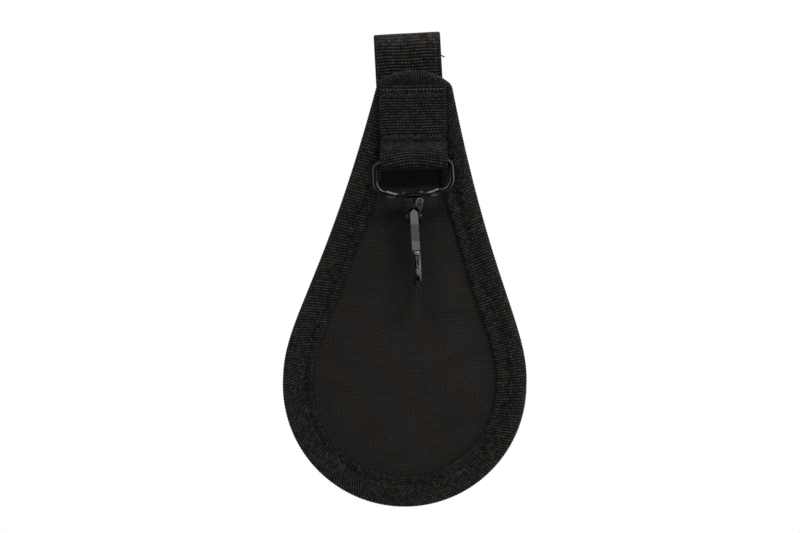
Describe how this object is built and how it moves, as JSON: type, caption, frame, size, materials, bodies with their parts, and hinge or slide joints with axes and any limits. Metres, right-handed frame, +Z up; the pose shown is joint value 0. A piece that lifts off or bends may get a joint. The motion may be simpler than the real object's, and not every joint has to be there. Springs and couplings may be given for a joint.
{
  "type": "key holder",
  "caption": "Padded teardrop key holder for a wide belt, with a webbing belt loop and a swivel snap hook that hangs from a folded strap.",
  "frame": {"origin": "belt seat: middle of the inner top of the belt loop, where it hangs on the belt's upper edge", "axes": "+Z up, the padded front faces -Y, the belt runs along X"},
  "size_m": [0.0924, 0.0346, 0.18],
  "materials": {
    "pad_fabric": "plain woven nylon",
    "binding_tape": "ribbed nylon tape",
    "webbing": "ribbed nylon webbing",
    "foam": "closed cell",
    "board": "matte",
    "black_steel": "black, worn edges",
    "satin_steel": "satin grey",
    "spring_steel": "bright"
  },
  "bodies": {
    "pad": {"front_panel": "pad_fabric", "back_panel": "pad_fabric", "foam_core": "foam", "stiffener_board": "board", "edge_binding": "binding_tape", "belt_loop": "webbing", "hook_strap": "webbing"},
    "bail": {"bail_wire": "black_steel", "bail_saddle": "black_steel", "swivel_post": "black_steel", "swivel_washer": "black_steel"},
    "hook": {"hook_body": "black_steel", "gate_rivet": "black_steel", "gate_spring": "spring_steel"},
    "gate": {"gate": "satin_steel"}
  },
  "joints": [
    {"name": "bail_swing", "type": "hinge", "parent": "pad", "child": "bail", "pos_m": [0.0002, -0.0165, -0.04791], "axis": [-0.9962, 0, -0.0868], "range_deg": [0, 150]},
    {"name": "hook_swivel", "type": "hinge", "parent": "bail", "child": "hook", "pos_m": [0.00085, -0.01892, -0.06225], "axis": [-0.0899, 0.1662, 0.982], "continuous": true},
    {"name": "gate_open", "type": "hinge", "parent": "hook", "child": "gate", "pos_m": [0.00141, -0.02219, -0.06842], "axis": [0.9958, 0.0007, 0.0911], "range_deg": [0, 26], "stiffness_Nm_per_rad": 0.02, "deforming": ["gate_spring"]}
  ]
}
